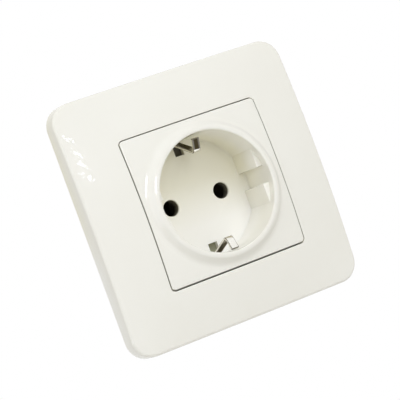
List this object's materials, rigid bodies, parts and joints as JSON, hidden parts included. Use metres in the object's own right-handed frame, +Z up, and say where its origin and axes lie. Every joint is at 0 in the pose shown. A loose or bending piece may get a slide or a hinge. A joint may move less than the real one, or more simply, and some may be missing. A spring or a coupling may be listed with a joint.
{
  "type": "wall socket",
  "caption": "Flush type F wall socket: crowned square frame, centre cover with a collared round plug recess, earth clips and a screw-terminal base on a steel support ring.",
  "frame": {"origin": "middle of the socket on the wall plane, halfway between the box screw slots", "axes": "+X right and +Z up as seen from the room, +Y into the wall, so the face looks along -Y"},
  "size_m": [0.085, 0.0452, 0.085],
  "materials": {
    "white_cover": "gloss",
    "dark_base": "matte",
    "zinc_steel": "zinc plated",
    "nickel_clip": "nickel plated",
    "brass": "bright"
  },
  "bodies": {
    "root": {"cover_frame": "white_cover", "centre_cover": "white_cover", "support_ring": "zinc_steel", "contact_lid": "dark_base", "socket_base": "dark_base", "neutral_contact": "brass", "line_contact": "brass", "neutral_contact_band": "zinc_steel", "line_contact_band": "zinc_steel", "earth_bow": "nickel_clip", "earth_strap": "brass", "earth_rivet": "brass", "neutral_clamp": "zinc_steel", "line_clamp": "zinc_steel", "earth_clamp": "zinc_steel", "neutral_terminal_screw": "zinc_steel", "line_terminal_screw": "zinc_steel", "earth_terminal_screw": "zinc_steel", "ring_rivets": "zinc_steel", "lid_screws": "zinc_steel"}
  },
  "joints": []
}
